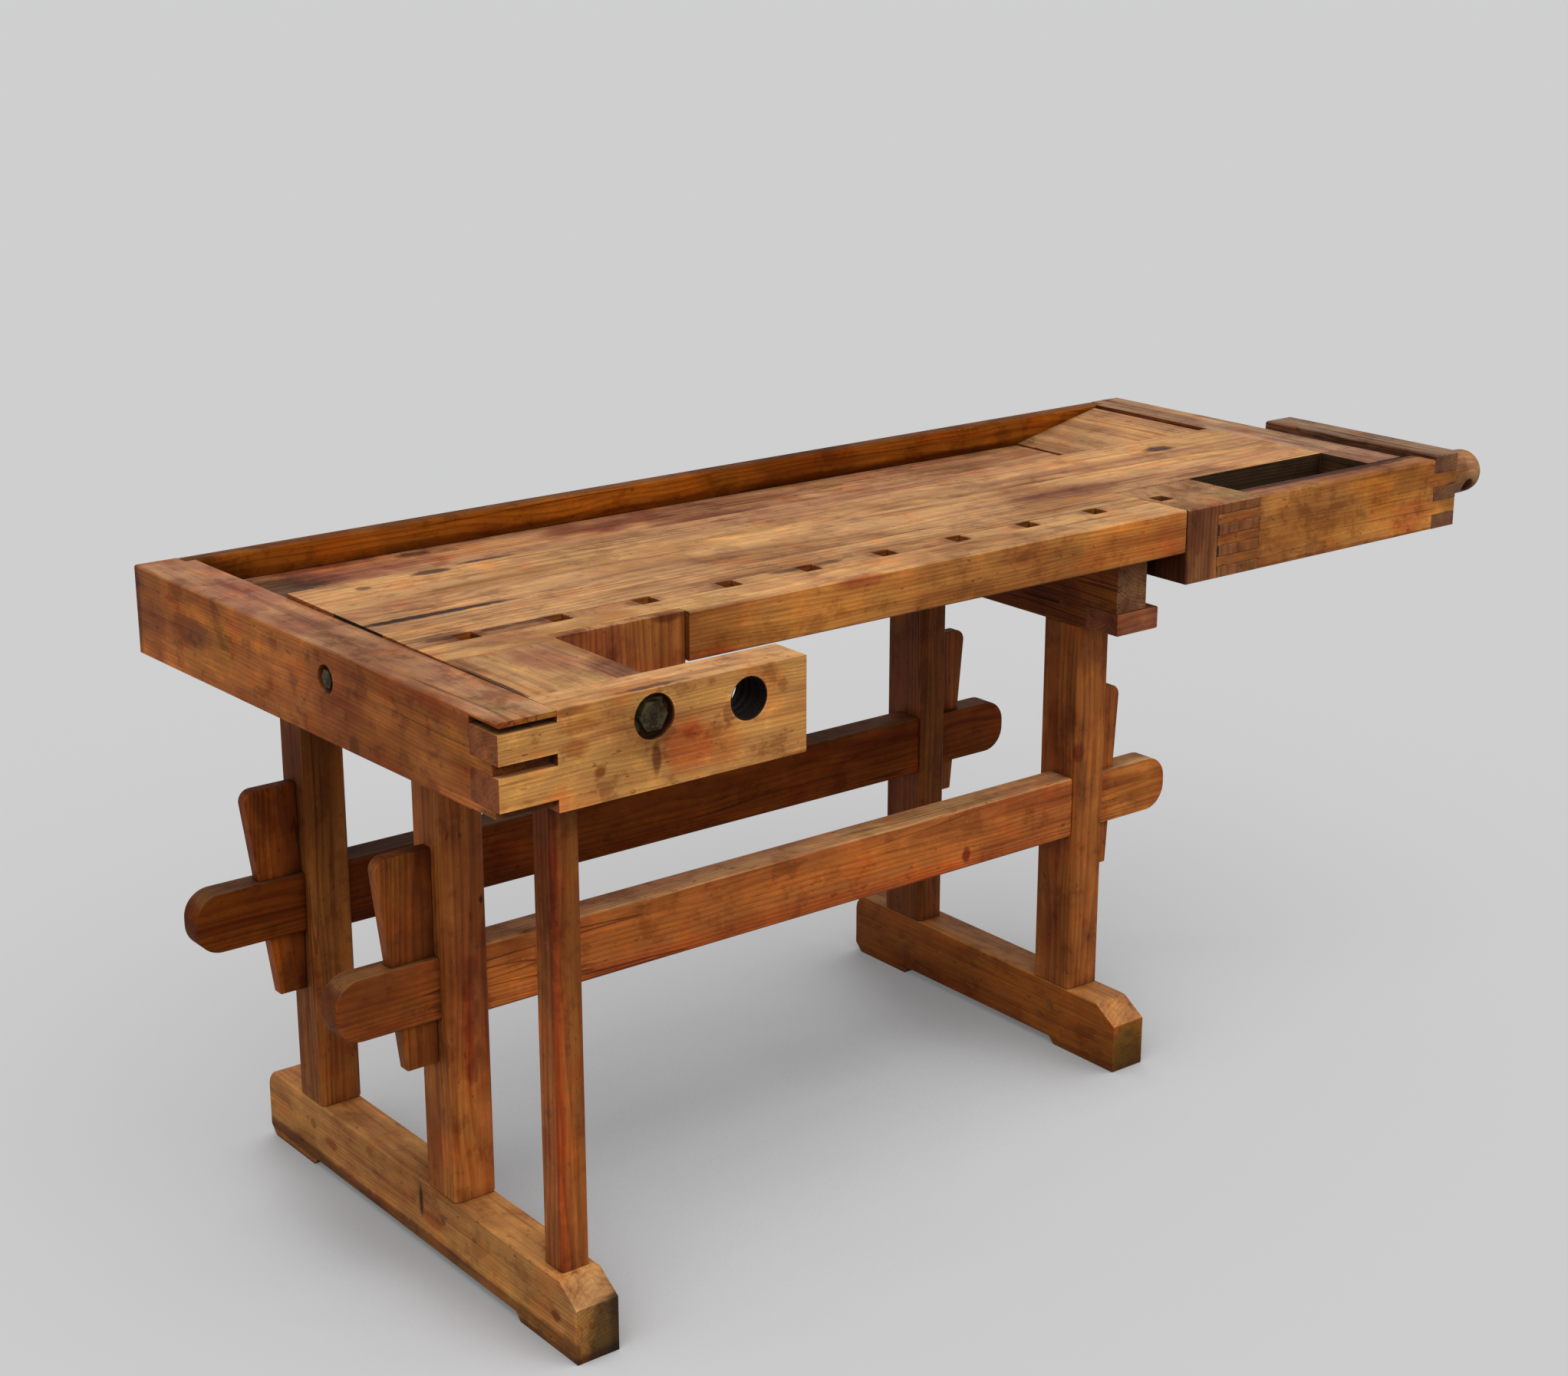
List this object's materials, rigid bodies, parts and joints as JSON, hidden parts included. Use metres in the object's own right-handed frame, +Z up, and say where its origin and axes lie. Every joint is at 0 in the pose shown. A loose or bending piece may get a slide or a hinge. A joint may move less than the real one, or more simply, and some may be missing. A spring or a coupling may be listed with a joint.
{
  "type": "woodworking bench",
  "caption": "Joiner's bench with an open shoulder vise, a screw-driven tail vise, square dog holes, a tool tray and a knock-down stand held by tusk wedges.",
  "frame": {"origin": "middle of the base of the bounding box, on the floor", "axes": "+X along the bench towards the tail vise's screw head, +Y from the front towards the tool tray, +Z up"},
  "size_m": [1.96, 0.85, 0.826],
  "materials": {
    "top_wood": "worn, oiled",
    "frame_wood": "worn, oiled",
    "dark_wood": "worn",
    "stand_wood": "worn, stained",
    "wedge_wood": "worn",
    "screw_wood": "turned, worn",
    "iron": "dull"
  },
  "bodies": {
    "bench": {"slab_front_strip": "top_wood", "dog_hole_blocks": "top_wood", "slab_inner_strip": "top_wood", "slab_middle_board": "top_wood", "slab_rear_board": "top_wood", "left_end_cap": "frame_wood", "right_end_cap": "frame_wood", "back_rail": "top_wood", "tray_bottom": "top_wood", "tray_ramp": "top_wood", "shoulder_front_board": "frame_wood", "shoulder_filler_block": "frame_wood", "shoulder_jaw_lining": "dark_wood", "shoulder_leg": "stand_wood", "frame_bolts": "iron", "frame_bolt_washers": "iron", "frame_bolt_nuts": "iron", "left_foot": "stand_wood", "left_bearer": "stand_wood", "left_front_post": "stand_wood", "left_rear_post": "stand_wood", "right_foot": "stand_wood", "right_bearer": "stand_wood", "right_front_post": "stand_wood", "right_rear_post": "stand_wood", "bearer_cleat": "stand_wood", "bearer_dowels": "wedge_wood", "foot_pins": "wedge_wood", "bearer_pins": "wedge_wood", "front_stretcher": "stand_wood", "rear_stretcher": "stand_wood", "guide_bar_keeper": "screw_wood", "tail_vise_guide_rail": "screw_wood", "tail_vise_nut_block": "frame_wood"},
    "tail_vise": {"tail_vise_jaw_block": "frame_wood", "tail_vise_front_board": "frame_wood", "tail_vise_end_block": "frame_wood", "tail_vise_guide_bar": "screw_wood", "guide_bar_peg": "screw_wood", "tail_vise_garter": "screw_wood"},
    "tail_vise_screw": {"tail_vise_screw": "screw_wood"},
    "left_front_wedge": {"left_front_wedge": "wedge_wood"},
    "left_rear_wedge": {"left_rear_wedge": "wedge_wood"},
    "right_front_wedge": {"right_front_wedge": "wedge_wood"},
    "right_rear_wedge": {"right_rear_wedge": "wedge_wood"}
  },
  "joints": [
    {"name": "tail_vise_slide", "type": "slide", "parent": "bench", "child": "tail_vise", "axis": [1, 0, 0], "range_m": [0, 0.18]},
    {"name": "tail_vise_screw_turn", "type": "hinge", "parent": "tail_vise", "child": "tail_vise_screw", "pos_m": [0.746, -0.125, 0.768], "axis": [1, 0, 0], "range_deg": [0, 5400]},
    {"name": "left_front_wedge_lift", "type": "slide", "parent": "bench", "child": "left_front_wedge", "axis": [0, 0, 1], "range_m": [0, 0.12]},
    {"name": "left_rear_wedge_lift", "type": "slide", "parent": "bench", "child": "left_rear_wedge", "axis": [0, 0, 1], "range_m": [0, 0.12]},
    {"name": "right_front_wedge_lift", "type": "slide", "parent": "bench", "child": "right_front_wedge", "axis": [0, 0, 1], "range_m": [0, 0.12]},
    {"name": "right_rear_wedge_lift", "type": "slide", "parent": "bench", "child": "right_rear_wedge", "axis": [0, 0, 1], "range_m": [0, 0.095]}
  ],
  "couplings": [
    {"joint": "tail_vise_screw_turn", "follows": "tail_vise_slide", "rad_per_m": 523.6}
  ]
}
